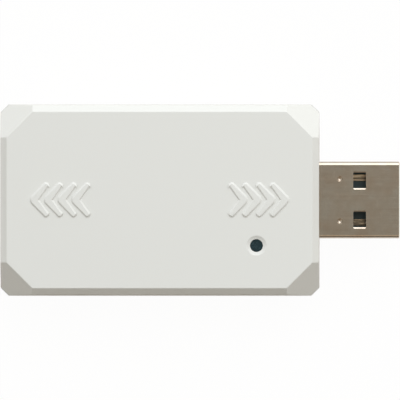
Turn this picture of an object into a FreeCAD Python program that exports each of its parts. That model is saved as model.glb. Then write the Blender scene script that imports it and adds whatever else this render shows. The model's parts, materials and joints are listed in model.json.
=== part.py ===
import FreeCAD
import Part
import math
import os

from FreeCAD import Placement, Rotation, Vector

# Wireless control module with a standard rectangular plug.
# Millimetres. The origin is the centre of the face that the housing rests on.
# +X points along the plug, +Z up, towards the face with the chevrons.

# Housing
housing_length = 50.0
housing_width = 30.0
housing_height = 10.8
parting_height = 5.4            # where the two covers meet
wall = 1.5
edge_chamfer = 1.05             # at 45 degrees, round the top face and the resting face
wall_lean = 0.3                 # draft: how far a side leans in between parting line and chamfer
corner_cut = 1.25               # leg of the corner cut at the parting line; the facets start there
arris_radius = 0.2
seam_height = 0.15              # shadow line between the covers
seam_depth = 0.25

# Raised chevrons on the top face
chevrons_in_group = 4
chevron_pitch = 2.13
chevron_first_tip = 14.15       # tip of the innermost one, before rounding, from the housing's middle
chevron_tip_width = 2.0         # thickness at that tip, along the direction it points
chevron_tip_radius = 1.0
chevron_sweep = 3.05            # how far behind the tip the ends of the arms lie
chevron_arm_rise = 2.23         # how far the ends of the arms lie to the side of the tip
chevron_end_radius = 0.55
chevron_height = 0.2
chevron_slope = 0.38            # width of the sloping sides, seen from above

# Snap lips of the top cover, which slide inside the bottom cover's rebates
lip_thickness = 0.6
lip_height = 1.2
lip_root = 0.5                  # how far a lip runs up into the wall that carries it
lip_lead = 0.25                 # lead-in at the lip's end
lip_gap = 0.05
bead_height = 0.22              # the bead that clicks into the groove
bead_width = 0.5
bead_drop = 0.55                # from the parting line to the middle of the bead
side_lip_length = 10.0
side_lip_offset = 11.0
end_lip_length = 12.0
plug_end_lip_length = 2.6
plug_end_lip_offset = 8.6

# Main board, its supports and its hold-down posts
board_thickness = 1.0
board_gap = 0.4                 # between the board's edge and the inner wall
post_from_end = 6.0             # from the housing's end and from its side
post_from_side = 4.65
post_radius = 1.5
pin_radius = 0.8
pin_reach = 0.9                 # above the board, into the post's socket
pin_gap = 0.1
rib_width = 0.8
rib_count = 4
rib_from_end = 7.0              # from the housing's end to the middle of the first rib
rib_end_gap = 1.5               # between a rib's end and the wall

# Plug
plug_reach = 12.37              # how far the plug stands out of the housing
plug_width = 12.0
plug_height = 4.5
shell_thickness = 0.3
shell_bend = 0.6                # outer radius of the shell's folds
shell_length = 18.75
shell_tip_chamfer = 0.1
shell_seam = 0.08               # gap where the folded sheet meets itself underneath
seam_key_width = 1.4
seam_key_depth = 1.2
seam_key_flare = 0.25
window_length = 2.0
window_width = 2.8
window_from_tip = 5.22
window_spacing = 6.1
window_corner = 0.25
window_lip = 0.3                # width of the lips that slope in at two sides of a window
window_lip_drop = 0.13
dimple_from_tip = 9.28
dimple_spacing = 6.58
dimple_radius = 0.42
dimple_depth = 0.25
leg_length = 1.4
leg_from_end = 1.7              # from the shell's inner end to the leg
leg_below_board = 0.5
leg_gap = 0.15
plug_fit = 0.1                  # between the shell and the opening in the covers
saddle_thickness = 1.2
saddle_from_wall = 1.0
saddle_cheek = 2.0

# Plug insulator and contacts
insulator_gap = 0.05
insulator_setback = 0.1         # from the shell's inner end to the insulator's
cavity_depth = 9.0              # from the plug's tip to the insulator's block
tongue_from_tip = 0.45
tongue_thickness = 1.9
contact_width = 1.0
contact_thickness = 0.25
contact_proud = 0.05            # above the tongue
contact_bend = 0.3              # size of the two-step bends behind the insulator
contact_from_tip_outer = 1.4
contact_from_tip_inner = 2.4
contact_outer_pitch = 7.0
contact_inner_pitch = 2.0
contact_drop = 0.6              # from the insulator's end to the down-turned run
contact_foot = 1.5
contact_gap = 0.05

# Light guide and status light
light_from_end = 10.0            # from the housing's plug end and from its -Y side
light_from_side = 7.95
light_hole_radius = 1.0
light_rim_radius = 1.55
light_dish_radius = 3.4         # of the shallow round hollow about the hole
light_fit = 0.04
guide_collar_radius = 1.6
guide_collar_height = 1.2
guide_rod_radius = 1.1
guide_boss_wall = 0.65
guide_boss_height = 2.0
guide_to_lamp = 0.25
lamp_length = 3.2
lamp_width = 2.8
lamp_height = 1.9
lamp_well_radius = 1.15
lamp_well_depth = 0.3
lamp_resistor_count = 3

# Radio board and what it carries
radio_board_length = 22.0
radio_board_width = 16.0
radio_board_thickness = 0.8
radio_end_gap = 0.4             # between the ends of the radio board and the main board
terminal_pitch = 2.0
terminal_count = 3
terminal_radius = 0.4
terminal_first = 6.5            # from the antenna end to the first terminal
can_length = 14.0
can_width = 12.2
can_height = 2.2
can_sheet = 0.2
can_corner = 1.0
can_edge = 0.15
can_end_gap = 1.0
can_gap = 0.1                   # from the can to the chips inside it and to the antenna's feed
radio_chip_side = 5.0
radio_chip_height = 0.85
flash_length = 5.4
flash_width = 5.0
flash_height = 0.75
crystal_length = 3.2
crystal_width = 2.5
crystal_height = 0.7
crystal_edge = 0.14
antenna_track = 0.5
antenna_space = 0.9
antenna_turns = 4
antenna_depth = 4.4
antenna_copper = 0.1

# Smaller parts on the main board
regulator_length = 6.5
regulator_width = 3.5
regulator_height = 1.6
regulator_lead_count = 3
regulator_lead_pitch = 2.3
regulator_lead_width = 0.7
regulator_tab_width = 3.0
interface_y = -1.6
interface_length = 4.9
interface_width = 3.9
interface_height = 1.4
interface_lead_count = 4        # on each side
interface_lead_pitch = 1.27
interface_lead_width = 0.42
array_y = 0.2
array_length = 2.9
array_width = 1.6
array_height = 1.0
array_lead_count = 3            # on each side
array_lead_pitch = 0.95
array_lead_width = 0.35
lead_thickness = 0.2
lead_shoulder = 0.35
lead_foot = 0.6
chip_standoff = 0.1
chip_bevel = 0.25
bulk_length = 6.0
bulk_width = 3.2
bulk_height = 2.5
bulk_terminal_width = 2.2
bulk_terminal_sheet = 0.15
bulk_terminal_foot = 1.0
chip_part_length = 1.6
chip_part_width = 0.8
capacitor_height = 0.8
resistor_height = 0.45
end_cap_length = 0.3
end_cap_sheet = 0.04
ferrite_scale = 1.5             # against the smaller two-ended parts
part_gap = 0.4                  # from one part to the next on the board
board_margin = 0.5              # kept clear of parts along the board's edge
capacitor_spacing = 3.0
radio_capacitor_count = 2
data_line_count = 2

# Values that follow from the ones above
tip_x = housing_length / 2 + plug_reach
shell_start = tip_x - shell_length
plug_z = parting_height
shell_top = plug_z + plug_height / 2
bump_foot = shell_top - shell_thickness - dimple_depth
bump_radius = dimple_radius + shell_thickness / 2
board_top = plug_z - plug_height / 2
board_bottom = board_top - board_thickness
roof = housing_height - wall
board_half_length = housing_length / 2 - wall - wall_lean - board_gap
board_half_width = housing_width / 2 - wall - wall_lean - board_gap
radio_start = radio_end_gap - board_half_length
radio_end = radio_start + radio_board_length
radio_top = board_top + radio_board_thickness
block_start = shell_start + insulator_setback
block_end = tip_x - cavity_depth
contact_top = plug_z + contact_proud
contact_middle = contact_top - contact_thickness / 2
post_x = housing_length / 2 - post_from_end
post_y = housing_width / 2 - post_from_side
light_x = housing_length / 2 - light_from_end
light_y = light_from_side - housing_width / 2
dish_centre = housing_height + math.sqrt(light_dish_radius ** 2 - light_rim_radius ** 2)
guide_tip = dish_centre - math.sqrt(light_dish_radius ** 2 - light_hole_radius ** 2)

# Where the parts on the main board stand: two beside the radio board, two at the plug's end
lead_reach = lead_shoulder + lead_foot
capacitor_row = board_half_width - board_margin - chip_part_width / 2
regulator_x = radio_end + part_gap + lead_reach + regulator_width / 2
regulator_y = capacitor_row - chip_part_width / 2 - part_gap - regulator_length / 2
interface_x = radio_end + part_gap + lead_reach + interface_width / 2
array_x = block_start - contact_drop - contact_foot - part_gap - lead_reach - array_width / 2
bulk_x = post_x - post_radius - part_gap - bulk_terminal_sheet - bulk_length / 2
bulk_y = regulator_y

big = 4 * housing_length        # larger than anything that it trims
tiny = 1e-6


# General shapes

def block(x0, x1, y0, y1, z0, z1):
    return Part.makeBox(x1 - x0, y1 - y0, z1 - z0, Vector(x0, y0, z0))


def centred_block(x, y, z0, length, width, height):
    return block(x - length / 2, x + length / 2, y - width / 2, y + width / 2, z0, z0 + height)


def rod(x, y, z0, z1, radius):
    return Part.makeCylinder(radius, z1 - z0, Vector(x, y, z0))


def ball(x, y, z, radius):
    return Part.makeSphere(radius, Vector(x, y, z), Vector(1, 0, 0))


def unit(vector):
    return vector * (1 / vector.Length)


def trim(form, point, outward):
    """Cut away all of a form that lies beyond a plane."""
    beyond = Part.makeBox(big, big, big, Vector(-big / 2, -big / 2, 0))
    beyond.Placement = Placement(point, Rotation(Vector(0, 0, 1), outward))
    return form.cut(beyond)


def rounded_bar(x0, x1, z, width, height, radius):
    """A bar along X, centred on y = 0, with four rounded long edges."""
    bar = block(x0, x1, -width / 2, width / 2, z - height / 2, z + height / 2)
    long_edges = [e for e in bar.Edges if abs(e.tangentAt(e.FirstParameter).x) > 1 - tiny]
    return bar.makeFillet(radius, long_edges)


def mirrored(shape, normal):
    return shape.mirror(Vector(0, 0, 0), normal)


def top_edges(shape, height):
    """The edges that lie flat at one height."""
    return [e for e in shape.Edges if e.BoundBox.ZMin > height - tiny and e.BoundBox.ZMax < height + tiny]


def upright_edges(shape):
    return [e for e in shape.Edges if e.BoundBox.XLength < tiny and e.BoundBox.YLength < tiny]


def folded_strip(points, width, thickness):
    """A sheet strip centred on points in an XZ plane, folded at each inner point."""
    mitred = 1
    across = Vector(0, width / 2, 0)
    through = unit(points[1] - points[0]).cross(Vector(0, 1, 0)) * (thickness / 2)
    corners = [across + through, across - through, -across - through, -across + through]
    section = Part.makePolygon([points[0] + corner for corner in corners + corners[:1]])
    return Part.makePolygon(points).makePipeShell([section], True, False, mitred)


# Housing form

def housing_half(height, inset):
    """One half of the housing, from the parting plane at z = 0 upwards, each face moved in by inset."""
    half_length = housing_length / 2
    half_width = housing_width / 2
    shoulder = height - edge_chamfer
    form = block(-half_length, half_length, -half_width, half_width, 0, height - inset)
    for side in (-1, 1):
        planes = [
            (Vector(side * half_length, 0, 0), Vector(side * shoulder, 0, wall_lean)),
            (Vector(0, side * half_width, 0), Vector(0, side * shoulder, wall_lean)),
            (Vector(side * (half_length - wall_lean), 0, shoulder), Vector(side, 0, 1)),
            (Vector(0, side * (half_width - wall_lean), shoulder), Vector(0, side, 1)),
        ]
        for turn in (-1, 1):
            corner = Vector(side * (half_length - corner_cut), turn * half_width, 0)
            planes.append((corner, Vector(side, turn, 1)))
        for point, outward in planes:
            form = trim(form, point - unit(outward) * inset, outward)
    return form


def cover_shell(height):
    """A hollow half of the housing with its outer edges rounded, open at the parting plane."""
    outer = housing_half(height, 0)
    arrises = [e for e in outer.Edges if e.BoundBox.ZMax > tiny]
    return outer.makeFillet(arris_radius, arrises).cut(housing_half(height, wall))


def seam_band():
    """What the shadow line takes off the top cover, just above the parting plane."""
    inner = housing_half(housing_height - parting_height, seam_depth)
    outer = block(-big, big, -big, big, 0, seam_height)
    return outer.cut(inner)


def lip_places():
    """Each lip: the half size to its wall, its length, its offset along the wall, the wall's turn."""
    half_length = housing_length / 2
    half_width = housing_width / 2
    places = [(half_length, end_lip_length, 0, 90)]
    for side in (-1, 1):
        places.append((half_width, side_lip_length, side * side_lip_offset, 0))
        places.append((half_width, side_lip_length, side * side_lip_offset, 180))
        places.append((half_length, plug_end_lip_length, side * plug_end_lip_offset, -90))
    return places


def bar_on_wall(profile, place, extra):
    """A profile given as (distance in from the wall's outer face, height), run along one wall."""
    half_size, length, offset, turn = place
    start = offset - length / 2 - extra
    points = [Vector(start, half_size - inwards, height) for inwards, height in profile]
    bar = Part.Face(Part.makePolygon(points + points[:1])).extrude(Vector(length + 2 * extra, 0, 0))
    bar.rotate(Vector(0, 0, 0), Vector(0, 0, 1), turn)
    return bar


def lip_profile():
    outer = wall - lip_thickness - lip_gap
    inner = outer + lip_thickness
    return [
        (inner, lip_root),
        (outer, lip_root),
        (outer, bead_width / 2 - bead_drop),
        (outer - bead_height, -bead_drop),
        (outer, -bead_drop - bead_width / 2),
        (outer, lip_lead - lip_height),
        (outer + lip_lead, -lip_height),
        (inner, -lip_height),
    ]


def rebate_profile():
    face = wall - lip_thickness - 2 * lip_gap
    floor = -lip_height - lip_gap
    return [
        (wall + lip_thickness, lip_root),
        (face, lip_root),
        (face, bead_width / 2 - bead_drop + lip_gap),
        (face - bead_height, -bead_drop),
        (face, -bead_drop - bead_width / 2 - lip_gap),
        (face, floor),
        (wall + lip_thickness, floor),
    ]


def post_places():
    return [(post_x * i, post_y * j) for i in (-1, 1) for j in (-1, 1)]


def pin_places():
    """The two posts on one diagonal also locate the board."""
    return [(x, y) for x, y in post_places() if x * y > 0]


# Top cover

def touch_point(outside, centre, radius, side):
    """Where a line from a point outside a circle touches it: side is 1 for left, -1 for right."""
    away = outside - centre
    angle = math.atan2(away.y, away.x) + side * math.acos(radius / away.Length)
    return centre + Vector(math.cos(angle), math.sin(angle), 0) * radius


def chevron_outline(tip_at):
    """A chevron that points along +X to a sharp tip, with round arm ends and arms that taper to them."""
    tip = Vector(tip_at, 0, 0)
    crotch = Vector(tip_at - chevron_tip_width, 0, 0)
    end = Vector(tip_at - chevron_sweep, chevron_arm_rise, 0)
    far = end + unit(end - (tip + crotch) * 0.5) * chevron_end_radius
    outer = touch_point(tip, end, chevron_end_radius, 1)
    inner = touch_point(crotch, end, chevron_end_radius, -1)
    upper = [tip, outer, far, inner, crotch]
    lower = [Vector(p.x, -p.y, 0) for p in reversed(upper)]
    edges = []
    for a, b, c, d, e in (upper, lower):
        edges += [Part.LineSegment(a, b), Part.Arc(b, c, d), Part.LineSegment(d, e)]
    return Part.Wire([edge.toShape() for edge in edges])


def chevron(tip_at):
    """One raised chevron with sloping sides, rooted as deep below z = 0 as it stands above."""
    body = Part.Face(chevron_outline(tip_at)).extrude(Vector(0, 0, 2 * chevron_height))
    tip_edge = [e for e in upright_edges(body) if e.BoundBox.XMin > tip_at - tiny]
    body = body.makeFillet(chevron_tip_radius, tip_edge)
    body = body.makeChamfer(chevron_height, chevron_slope, top_edges(body, 2 * chevron_height))
    body.translate(Vector(0, 0, -chevron_height))
    return body


def chevrons():
    """Two groups of chevrons that point away from each other."""
    group = [chevron(chevron_first_tip + i * chevron_pitch) for i in range(chevrons_in_group)]
    both = group + [mirrored(one, Vector(1, 0, 0)) for one in group]
    for one in both:
        one.translate(Vector(0, 0, housing_height))
    return both


def hold_down_post(x, y):
    post = rod(x, y, board_top, roof + wall / 2, post_radius)
    if (x, y) in pin_places():
        depth = pin_reach + pin_gap
        post = post.cut(rod(x, y, board_top, board_top + depth, pin_radius + pin_gap))
    return post


def plug_saddle():
    """Rib under the roof that holds the plug's shell from above and from both sides."""
    end = housing_length / 2 - wall - saddle_from_wall
    half = plug_width / 2 + saddle_cheek
    rib = block(end - saddle_thickness, end, -half, half, plug_z, roof + wall / 2)
    return rib.cut(plug_opening())


def plug_opening():
    width = plug_width + 2 * plug_fit
    height = plug_height + 2 * plug_fit
    start = housing_length / 2 - wall - 2 * saddle_from_wall - saddle_thickness
    return rounded_bar(start, tip_x, plug_z, width, height, shell_bend + plug_fit)


def make_top_cover():
    cover = cover_shell(housing_height - parting_height).cut(seam_band())
    cover = cover.fuse([bar_on_wall(lip_profile(), place, 0) for place in lip_places()])
    cover.translate(Vector(0, 0, parting_height))
    boss_radius = guide_collar_radius + light_fit + guide_boss_wall
    boss = rod(light_x, light_y, roof - guide_boss_height, roof + wall / 2, boss_radius)
    inside = [boss, plug_saddle()] + [hold_down_post(x, y) for x, y in post_places()]
    cover = cover.fuse(inside + chevrons())
    bore = rod(light_x, light_y, roof - 2 * guide_boss_height, roof, guide_collar_radius + light_fit)
    hole = rod(light_x, light_y, roof - wall, housing_height + wall, light_hole_radius)
    dish = ball(light_x, light_y, dish_centre, light_dish_radius)
    return cover.cut([bore, hole, dish, plug_opening()]).removeSplitter()


# Bottom cover

def board_rib(x):
    half = housing_width / 2 - wall - rib_end_gap
    return block(x - rib_width / 2, x + rib_width / 2, -half, half, wall / 2, board_bottom)


def make_bottom_cover():
    cover = mirrored(cover_shell(parting_height), Vector(0, 0, 1))
    cover = cover.cut([bar_on_wall(rebate_profile(), place, lip_gap) for place in lip_places()])
    cover.translate(Vector(0, 0, parting_height))
    first = rib_from_end - housing_length / 2
    spacing = -2 * first / (rib_count - 1)
    ribs = [board_rib(first + i * spacing) for i in range(rib_count)]
    pads = [rod(x, y, wall / 2, board_bottom, post_radius) for x, y in post_places()]
    pins = [rod(x, y, wall / 2, board_top + pin_reach, pin_radius) for x, y in pin_places()]
    cover = cover.fuse(ribs + pads + pins)
    return cover.cut(plug_opening()).removeSplitter()


# Plug shell

def slit(start, end, width, depth):
    """A narrow upright cut from one point to another, just long enough to join the next one."""
    along = end - start
    length = along.Length + width
    cut = Part.makeBox(length, width, depth, Vector(-width / 2, -width / 2, 0))
    cut.Placement = Placement(start, Rotation(Vector(1, 0, 0), along))
    return cut


def shell_seam_cut():
    """The line where the folded sheet meets itself, with one dovetail key."""
    middle = (shell_start + tip_x) / 2
    neck = seam_key_width / 2
    points = [
        (shell_start - wall, 0),
        (middle - neck, 0),
        (middle - neck - seam_key_flare, seam_key_depth),
        (middle + neck + seam_key_flare, seam_key_depth),
        (middle + neck, 0),
        (tip_x + wall, 0),
    ]
    line = [Vector(x, y, board_top - shell_thickness / 2) for x, y in points]
    cuts = [slit(a, b, shell_seam, 2 * shell_thickness) for a, b in zip(line, line[1:])]
    return cuts[0].fuse(cuts[1:])


def window_cutter(y):
    """A window through the upper sheet, with lips that slope in at its two sides."""
    x = tip_x - window_from_tip - window_length / 2
    depth = 2 * shell_thickness
    prism = centred_block(x, y, shell_top - depth, window_length, window_width, depth)
    prism = prism.makeFillet(window_corner, upright_edges(prism))
    half = window_width / 2
    throat = half - window_lip
    low = shell_top - window_lip_drop
    points = [Vector(0, y + across, z) for across, z in
              ((-half, shell_top), (-throat, low), (throat, low), (half, shell_top))]
    funnel = Part.Face(Part.makePolygon(points + points[:1])).extrude(Vector(tip_x, 0, 0))
    hole = centred_block(x, y, shell_top - depth, window_length, 2 * throat, depth)
    return funnel.common(prism).fuse(hole).removeSplitter()


def dimple_places():
    x = tip_x - dimple_from_tip
    return [(x, side * dimple_spacing / 2) for side in (-1, 1)]


def dimple_bump(x, y):
    """The bump that a pressed dimple makes inside the upper sheet."""
    return rod(x, y, bump_foot, shell_top - shell_thickness / 2, bump_radius)


def dimple_hollow(x, y):
    """The round hollow that the press leaves outside, as wide and deep as the dimple."""
    radius = (dimple_radius ** 2 + dimple_depth ** 2) / (2 * dimple_depth)
    return ball(x, y, shell_top - dimple_depth + radius, radius)


def shell_leg(side):
    y = side * (plug_width - shell_thickness) / 2
    start = shell_start + leg_from_end
    return block(start, start + leg_length, y - shell_thickness / 2, y + shell_thickness / 2,
                 board_bottom - leg_below_board, plug_z)


def make_usb_shell():
    outer = rounded_bar(shell_start, tip_x, plug_z, plug_width, plug_height, shell_bend)
    tip_edges = [e for e in outer.Edges if e.BoundBox.XMin > tip_x - tiny]
    outer = outer.makeChamfer(shell_tip_chamfer, tip_edges)
    width = plug_width - 2 * shell_thickness
    height = plug_height - 2 * shell_thickness
    bend = shell_bend - shell_thickness
    inner = rounded_bar(shell_start - wall, tip_x + wall, plug_z, width, height, bend)
    shell = outer.cut(inner)
    windows = []
    for side in (-1, 1):
        cutter = window_cutter(side * window_spacing / 2)
        below = mirrored(cutter, Vector(0, 0, 1))
        below.translate(Vector(0, 0, 2 * plug_z))
        windows += [cutter, below]
    shell = shell.cut(windows)
    bumps = [dimple_bump(x, y) for x, y in dimple_places()]
    hollows = [dimple_hollow(x, y) for x, y in dimple_places()]
    shell = shell.fuse(bumps + [shell_leg(-1), shell_leg(1)])
    return shell.cut(hollows + [shell_seam_cut()]).removeSplitter()


# Plug insulator and contacts

def contact_lines():
    """Each contact: its name, its place across the plug and how far it stops short of the tip."""
    outer = contact_outer_pitch / 2
    inner = contact_inner_pitch / 2
    return [
        ("usb_contact_power", -outer, contact_from_tip_outer),
        ("usb_contact_data_minus", -inner, contact_from_tip_inner),
        ("usb_contact_data_plus", inner, contact_from_tip_inner),
        ("usb_contact_ground", outer, contact_from_tip_outer),
    ]


def make_usb_insulator():
    """The block and tongue, with a slot for each contact and a relief for each dimple's bump."""
    width = plug_width - 2 * shell_thickness - 2 * insulator_gap
    height = plug_height - 2 * shell_thickness - 2 * insulator_gap
    bend = shell_bend - shell_thickness
    body = rounded_bar(block_start, tip_x - tongue_from_tip, plug_z, width, height, bend)
    tongue_top = plug_z - height / 2 + tongue_thickness
    body = body.cut(block(block_end, tip_x, -big, big, tongue_top, big))
    slots = []
    for _, y, from_tip in contact_lines():
        half = contact_width / 2 + contact_gap
        low = contact_top - contact_thickness - contact_gap
        slots.append(block(block_start - wall, tip_x - from_tip + contact_gap, y - half, y + half,
                           low, contact_top + contact_gap))
    half = bump_radius + insulator_gap
    reliefs = [block(x - half, tip_x, y - half, y + half, bump_foot - insulator_gap, shell_top)
               for x, y in dimple_places()]
    return body.cut(slots + reliefs).removeSplitter()


def make_contact(y, from_tip):
    """A contact strip: along the tongue, through the block, down to the board and back along it."""
    drop = block_start - contact_drop
    foot = board_top + contact_thickness / 2
    points = [
        Vector(tip_x - from_tip, y, contact_middle),
        Vector(drop + contact_bend, y, contact_middle),
        Vector(drop, y, contact_middle - contact_bend),
        Vector(drop, y, foot + contact_bend),
        Vector(drop - contact_bend, y, foot),
        Vector(drop - contact_foot, y, foot),
    ]
    return folded_strip(points, contact_width, contact_thickness)


# Light guide and status light

def make_light_guide():
    """A turned form: tip in the roof's hole, collar against the roof, rod down to the lamp."""
    foot = board_top + lamp_height + guide_to_lamp
    collar_foot = roof - guide_collar_height
    tip_radius = light_hole_radius - light_fit
    outline = [(0, foot), (guide_rod_radius, foot), (guide_rod_radius, collar_foot),
               (guide_collar_radius, collar_foot), (guide_collar_radius, roof), (tip_radius, roof),
               (tip_radius, guide_tip), (0, guide_tip)]
    points = [Vector(light_x + r, light_y, z) for r, z in outline]
    face = Part.Face(Part.makePolygon(points + points[:1]))
    return face.revolve(Vector(light_x, light_y, 0), Vector(0, 0, 1), 360)


def make_status_led():
    body = centred_block(light_x, light_y, board_top, lamp_length, lamp_width, lamp_height)
    top = board_top + lamp_height
    return body.cut(rod(light_x, light_y, top - lamp_well_depth, top, lamp_well_radius))


# Boards

def make_main_board():
    """The board's corners are cut parallel to the bottom cover's inner facets, at the board's gap."""
    board = block(-board_half_length, board_half_length, -board_half_width, board_half_width,
                  board_bottom, board_top)
    rise = parting_height - board_bottom
    facet_sum = corner_cut + rise + wall * math.sqrt(3) + board_gap * math.sqrt(2)
    inset = 2 * (wall + wall_lean + board_gap)
    board = board.makeChamfer(facet_sum - inset, upright_edges(board))
    holes = [rod(x, y, 0, roof, pin_radius + pin_gap) for x, y in pin_places()]
    for side in (-1, 1):
        leg = shell_leg(side).BoundBox
        leg.enlarge(leg_gap)
        holes.append(block(leg.XMin, leg.XMax, leg.YMin, leg.YMax, 0, roof))
    return board.cut(holes)


def make_radio_board():
    half = radio_board_width / 2
    board = block(radio_start, radio_start + radio_board_length, -half, half, board_top, radio_top)
    notches = []
    for i in range(terminal_count):
        x = radio_start + terminal_first + i * terminal_pitch
        notches += [rod(x, side * half, 0, roof, terminal_radius) for side in (-1, 1)]
    return board.cut(notches)


def can_middle():
    return radio_start + radio_board_length - can_end_gap - can_length / 2


def drawn_can(inset):
    """The can's form with every face but the open one moved in by inset."""
    length = can_length - 2 * inset
    width = can_width - 2 * inset
    height = can_height - inset
    can = centred_block(can_middle(), 0, radio_top, length, width, height)
    return can.makeFillet(can_corner - inset, upright_edges(can))


def make_radio_shield_can():
    outer = drawn_can(0)
    outer = outer.makeChamfer(can_edge, top_edges(outer, radio_top + can_height))
    return outer.cut(drawn_can(can_sheet))


def chip_body(x, y, z, length, width, height):
    """A moulded chip body with one bevelled upper edge, on the side of its first lead."""
    body = centred_block(x, y, z, length, width, height)
    bevelled = [e for e in top_edges(body, z + height) if e.BoundBox.YMax < y]
    return body.makeChamfer(chip_bevel, bevelled)


def make_radio_chip():
    x = can_middle() + can_length / 4
    return chip_body(x, 0, radio_top, radio_chip_side, radio_chip_side, radio_chip_height)


def make_radio_flash_chip():
    x = can_middle() - can_length / 4
    y = can_width / 2 - can_sheet - can_gap - flash_width / 2
    return chip_body(x, y, radio_top, flash_length, flash_width, flash_height)


def make_radio_crystal():
    x = can_middle() - can_length / 4
    y = can_sheet + can_gap + crystal_width / 2 - can_width / 2
    can = centred_block(x, y, radio_top, crystal_length, crystal_width, crystal_height)
    return can.makeChamfer(crystal_edge, top_edges(can, radio_top + crystal_height))


def make_radio_antenna():
    """A copper track that folds to and fro across the clear end of the radio board."""
    near = can_middle() - can_length / 2 - antenna_space
    far = near - antenna_depth
    pitch = antenna_track + antenna_space
    half = antenna_track / 2
    top = radio_top + antenna_copper
    runs = []
    for i in range(2 * antenna_turns + 1):
        y = (i - antenna_turns) * pitch
        runs.append(block(far, near, y - half, y + half, radio_top, top))
        start = far if i % 2 == 0 else near - antenna_track
        if i < 2 * antenna_turns:
            runs.append(block(start, start + antenna_track, y - half, y + pitch + half, radio_top, top))
    feed = near + antenna_space - can_gap
    runs.append(block(near - half, feed, y - half, y + half, radio_top, top))
    return runs[0].fuse(runs[1:]).removeSplitter()


# Leaded parts on the main board

def lead(body_side, exit_z, y, width):
    """A lead along +X: out of the body, down, and along the board."""
    down = body_side + lead_shoulder
    foot = board_top + lead_thickness / 2
    points = [Vector(body_side, y, exit_z), Vector(down, y, exit_z), Vector(down, y, foot),
              Vector(down + lead_foot, y, foot)]
    return folded_strip(points, width, lead_thickness)


def lead_row(count, pitch, body_side, exit_z, width):
    first = -pitch * (count - 1) / 2
    return [lead(body_side, exit_z, first + i * pitch, width) for i in range(count)]


def placed(shapes, x, y):
    group = Part.makeCompound(shapes)
    group.translate(Vector(x, y, 0))
    return group


def make_voltage_regulator():
    return centred_block(regulator_x, regulator_y, board_top + chip_standoff,
                         regulator_width, regulator_length, regulator_height)


def make_regulator_leads():
    exit_z = board_top + chip_standoff + regulator_height / 2
    side = regulator_width / 2
    leads = lead_row(regulator_lead_count, regulator_lead_pitch, side, exit_z, regulator_lead_width)
    tab = mirrored(lead(side, exit_z, 0, regulator_tab_width), Vector(1, 0, 0))
    return placed(leads + [tab], regulator_x, regulator_y)


def make_interface_chip():
    return chip_body(interface_x, interface_y, board_top + chip_standoff,
                     interface_width, interface_length, interface_height)


def make_interface_chip_leads():
    exit_z = board_top + chip_standoff + interface_height / 2
    side = interface_width / 2
    row = lead_row(interface_lead_count, interface_lead_pitch, side, exit_z, interface_lead_width)
    return placed(row + [mirrored(one, Vector(1, 0, 0)) for one in row], interface_x, interface_y)


def make_protection_array():
    return chip_body(array_x, array_y, board_top + chip_standoff, array_width, array_length, array_height)


def make_protection_array_leads():
    exit_z = board_top + chip_standoff + array_height / 2
    row = lead_row(array_lead_count, array_lead_pitch, array_width / 2, exit_z, array_lead_width)
    return placed(row + [mirrored(one, Vector(1, 0, 0)) for one in row], array_x, array_y)


def make_bulk_capacitor():
    sheet = bulk_terminal_sheet
    body = centred_block(bulk_x, bulk_y, board_top + sheet, bulk_length, bulk_width, bulk_height)
    return body.makeChamfer(sheet, upright_edges(body))


def make_bulk_capacitor_terminals():
    """Two bent strips, each up one end of the capacitor's body and folded under it."""
    sheet = bulk_terminal_sheet
    end = bulk_length / 2
    upright = block(end, end + sheet, -bulk_terminal_width / 2, bulk_terminal_width / 2,
                    board_top, board_top + sheet + bulk_height / 2)
    foot = block(end - bulk_terminal_foot, end + sheet, -bulk_terminal_width / 2, bulk_terminal_width / 2,
                 board_top, board_top + sheet)
    strip = upright.fuse(foot).removeSplitter()
    return placed([strip, mirrored(strip, Vector(1, 0, 0))], bulk_x, bulk_y)


def chip_part(x, y, height, size, turned):
    """A small two-ended part: a body between two slightly larger metal end caps."""
    length = chip_part_length * size
    width = chip_part_width * size
    cap = end_cap_length * size
    body = centred_block(0, 0, board_top + end_cap_sheet, length - 2 * cap, width, height * size)
    ends = [centred_block(side * (length - cap) / 2, 0, board_top, cap, width + 2 * end_cap_sheet,
                          height * size + 2 * end_cap_sheet) for side in (-1, 1)]
    part = body.fuse(ends)
    if turned:
        part.rotate(Vector(0, 0, 0), Vector(0, 0, 1), 90)
    part.translate(Vector(x, y, 0))
    return part


def make_ceramic_capacitors():
    """Beside the regulator, the interface chip and the radio board."""
    beside_interface = interface_length / 2 + part_gap + chip_part_width / 2
    radio_row = radio_board_width / 2 + part_gap + chip_part_length / 2
    places = [(regulator_x + i * capacitor_spacing, capacitor_row, False) for i in (-1, 0, 1)]
    places += [(interface_x, interface_y + side * beside_interface, False) for side in (-1, 1)]
    for i in range(radio_capacitor_count):
        places.append((radio_start + terminal_first + (i + 1) * capacitor_spacing, radio_row, True))
    return Part.makeCompound([chip_part(x, y, capacitor_height, 1, turned) for x, y, turned in places])


def make_resistors():
    """A row next to the status light and a pair at the protection array, away from the ferrite."""
    pitch = chip_part_width + part_gap
    row_start = light_x - lamp_length / 2 + chip_part_width / 2
    pair_start = array_y - array_length / 2 + chip_part_width / 2
    places = [(row_start - (i + 1) * pitch, light_y, True) for i in range(lamp_resistor_count)]
    places += [(array_x, pair_start - (i + 1) * pitch, False) for i in range(data_line_count)]
    return Part.makeCompound([chip_part(x, y, resistor_height, 1, turned) for x, y, turned in places])


def make_supply_ferrite():
    y = array_y + array_length / 2 + part_gap + chip_part_width * ferrite_scale / 2
    return chip_part(array_x, y, capacitor_height, ferrite_scale, False)


# Build and write every part

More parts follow.
